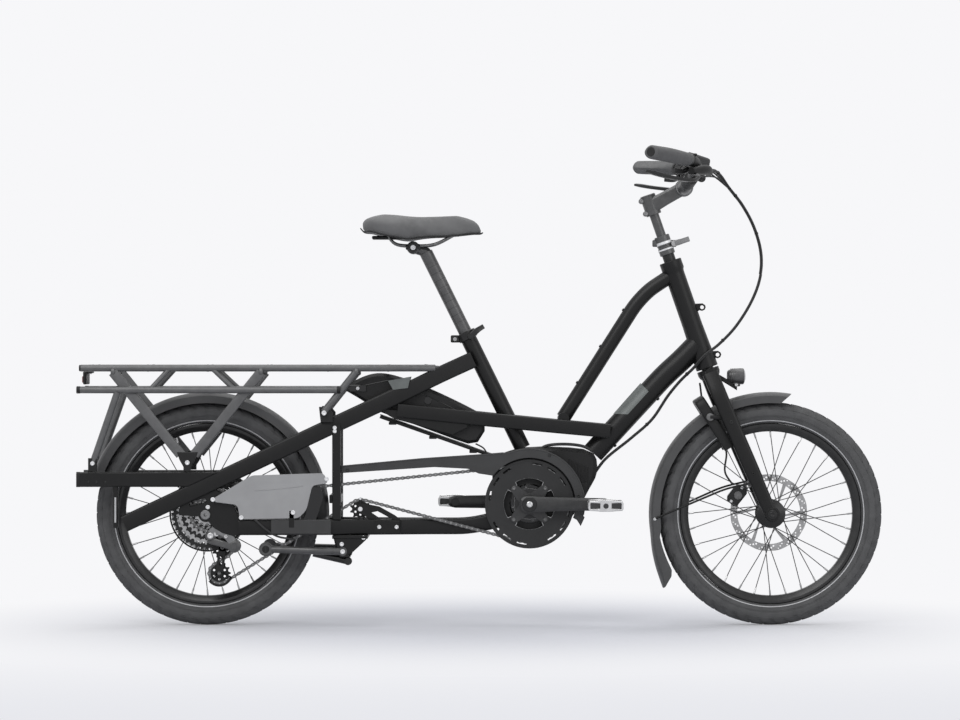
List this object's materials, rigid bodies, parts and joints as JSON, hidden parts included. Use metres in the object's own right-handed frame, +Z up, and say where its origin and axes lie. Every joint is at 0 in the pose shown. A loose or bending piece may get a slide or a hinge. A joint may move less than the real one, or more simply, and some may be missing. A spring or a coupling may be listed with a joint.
{
  "type": "longtail cargo bicycle",
  "caption": "Longtail cargo bicycle with a stretched rear carrier, small wheels, mid motor, frame battery, telescopic handlebar mast and folding stand.",
  "frame": {"origin": "on the floor under the middle of the whole bicycle's length and width", "axes": "+X forwards, +Z up, +Y to the rider's left; the drive side faces -Y"},
  "size_m": [1.858, 0.7184, 1.094],
  "materials": {
    "frame_paint": "satin black paint",
    "carrier_paint": "satin grey paint",
    "fender_plastic": "satin grey plastic",
    "tyre_rubber": "matt dark grey",
    "rim_alloy": "satin black anodised",
    "hub_steel": "bright metal, spokes and disc",
    "drive_steel": "plain steel",
    "crank_alloy": "dark anodised",
    "pedal_alloy": "bright anodised",
    "black_plastic": "matt black",
    "grip_rubber": "soft grey rubber",
    "hose_rubber": "black sheath",
    "saddle_cover": "soft dark grey cover"
  },
  "bodies": {
    "frame": {"head_and_down_tube": "frame_paint", "top_tube": "frame_paint", "seat_tube": "frame_paint", "side_bars": "frame_paint", "upper_stays": "frame_paint", "chainstays": "frame_paint", "support_posts": "frame_paint", "tail_tubes": "frame_paint", "rack_deck": "carrier_paint", "rack_side_right": "carrier_paint", "rack_side_left": "carrier_paint", "tail_light": "black_plastic", "battery": "black_plastic", "battery_cradle": "drive_steel", "motor": "black_plastic", "chain": "drive_steel", "chain_guard": "black_plastic", "derailleur_body": "black_plastic", "rear_fender": "fender_plastic", "rear_caliper": "black_plastic", "side_guard": "fender_plastic", "hose_lower": "hose_rubber"},
    "fork": {"fork": "frame_paint", "front_fender": "fender_plastic", "wheel_lock": "black_plastic", "front_caliper": "black_plastic", "mast_clamp": "frame_paint", "headlight": "black_plastic"},
    "mast": {"bar_post": "frame_paint", "stem": "frame_paint", "handlebar": "frame_paint", "grip_left": "grip_rubber", "grip_right": "grip_rubber", "control_left": "black_plastic", "control_right": "black_plastic", "display": "black_plastic", "hose_upper": "hose_rubber"},
    "mast_lever": {"post_lever": "drive_steel"},
    "brake_left": {"brake_lever_left": "crank_alloy"},
    "brake_right": {"brake_lever_right": "crank_alloy"},
    "front_wheel": {"front_tyre": "tyre_rubber", "front_rim": "rim_alloy", "front_hub": "hub_steel"},
    "rear_wheel": {"rear_tyre": "tyre_rubber", "rear_rim": "rim_alloy", "rear_hub": "hub_steel"},
    "cassette": {"cassette": "drive_steel"},
    "crank": {"crankset": "crank_alloy", "chainring": "black_plastic"},
    "pedal_r": {"pedal_right": "pedal_alloy"},
    "pedal_l": {"pedal_left": "pedal_alloy"},
    "idler": {"idler_pulley": "black_plastic"},
    "cage": {"derailleur_cage": "drive_steel"},
    "guide": {"guide_pulley": "black_plastic"},
    "tension": {"tension_pulley": "black_plastic"},
    "seat": {"seatpost": "frame_paint", "saddle": "saddle_cover", "saddle_rails": "drive_steel"},
    "seat_clamp_lever": {"seat_lever": "drive_steel"},
    "stand": {"kickstand": "frame_paint"}
  },
  "joints": [
    {"name": "crank_spin", "type": "hinge", "parent": "frame", "child": "crank", "pos_m": [0.112, 0, 0.282], "axis": [0, 1, 0], "continuous": true},
    {"name": "pedal_right_spin", "type": "hinge", "parent": "crank", "child": "pedal_r", "pos_m": [0.284, -0.148, 0.282], "axis": [0, 1, 0], "continuous": true},
    {"name": "pedal_left_spin", "type": "hinge", "parent": "crank", "child": "pedal_l", "pos_m": [-0.06, 0.148, 0.282], "axis": [0, 1, 0], "continuous": true},
    {"name": "cassette_spin", "type": "hinge", "parent": "frame", "child": "cassette", "pos_m": [-0.633, -0.05, 0.258], "axis": [0, 1, 0], "continuous": true},
    {"name": "rear_wheel_spin", "type": "hinge", "parent": "frame", "child": "rear_wheel", "pos_m": [-0.633, 0, 0.258], "axis": [0, 1, 0], "continuous": true},
    {"name": "idler_spin", "type": "hinge", "parent": "frame", "child": "idler", "pos_m": [-0.278, -0.05, 0.27], "axis": [0, 1, 0], "continuous": true},
    {"name": "cage_swing", "type": "hinge", "parent": "frame", "child": "cage", "pos_m": [-0.568, -0.057, 0.186], "axis": [0, 1, 0], "range_deg": [-30, 10], "stiffness_Nm_per_rad": 1, "deforming": ["chain"]},
    {"name": "guide_spin", "type": "hinge", "parent": "cage", "child": "guide", "pos_m": [-0.596, -0.05, 0.181], "axis": [0, 1, 0], "continuous": true},
    {"name": "tension_spin", "type": "hinge", "parent": "cage", "child": "tension", "pos_m": [-0.603, -0.05, 0.122], "axis": [0, 1, 0], "continuous": true},
    {"name": "steering", "type": "hinge", "parent": "frame", "child": "fork", "pos_m": [0.525, 0, 0.595], "axis": [-0.3276, 0, 0.9448], "range_deg": [-60, 60], "deforming": ["hose_lower", "hose_upper"]},
    {"name": "front_wheel_spin", "type": "hinge", "parent": "fork", "child": "front_wheel", "pos_m": [0.671, 0, 0.258], "axis": [0, 1, 0], "continuous": true},
    {"name": "mast_height", "type": "slide", "parent": "fork", "child": "mast", "axis": [-0.3276, 0, 0.9448], "range_m": [-0.04, 0.1], "deforming": ["hose_upper", "hose_lower"]},
    {"name": "mast_lever_turn", "type": "hinge", "parent": "fork", "child": "mast_lever", "pos_m": [0.44821, -0.0118, 0.88392], "axis": [0.3276, 0, -0.9448], "range_deg": [0, 110]},
    {"name": "brake_left_pull", "type": "hinge", "parent": "mast", "child": "brake_left", "pos_m": [0.48916, 0.215, 1.02785], "axis": [0.7001, 0.7141, 0], "range_deg": [0, 6], "stiffness_Nm_per_rad": 2, "springref_deg": -11.46},
    {"name": "brake_right_pull", "type": "hinge", "parent": "mast", "child": "brake_right", "pos_m": [0.48916, -0.215, 1.02785], "axis": [-0.7001, 0.7141, 0], "range_deg": [0, 6], "stiffness_Nm_per_rad": 2, "springref_deg": -11.46},
    {"name": "saddle_height", "type": "slide", "parent": "frame", "child": "seat", "axis": [-0.4432, 0, 0.8964], "range_m": [-0.14, 0.05]},
    {"name": "seat_lever_turn", "type": "hinge", "parent": "frame", "child": "seat_clamp_lever", "pos_m": [-0.02367, -0.0248, 0.669], "axis": [0.4432, 0, -0.8964], "range_deg": [0, 110]},
    {"name": "stand_swing", "type": "hinge", "parent": "frame", "child": "stand", "pos_m": [-0.318, 0, 0.173], "axis": [0, -1, 0], "range_deg": [0, 95]}
  ],
  "couplings": [
    {"joint": "cassette_spin", "follows": "crank_spin", "ratio": 2.4444},
    {"joint": "idler_spin", "follows": "crank_spin", "ratio": -4},
    {"joint": "guide_spin", "follows": "crank_spin", "ratio": -3.6667},
    {"joint": "tension_spin", "follows": "crank_spin", "ratio": 3.6667}
  ]
}
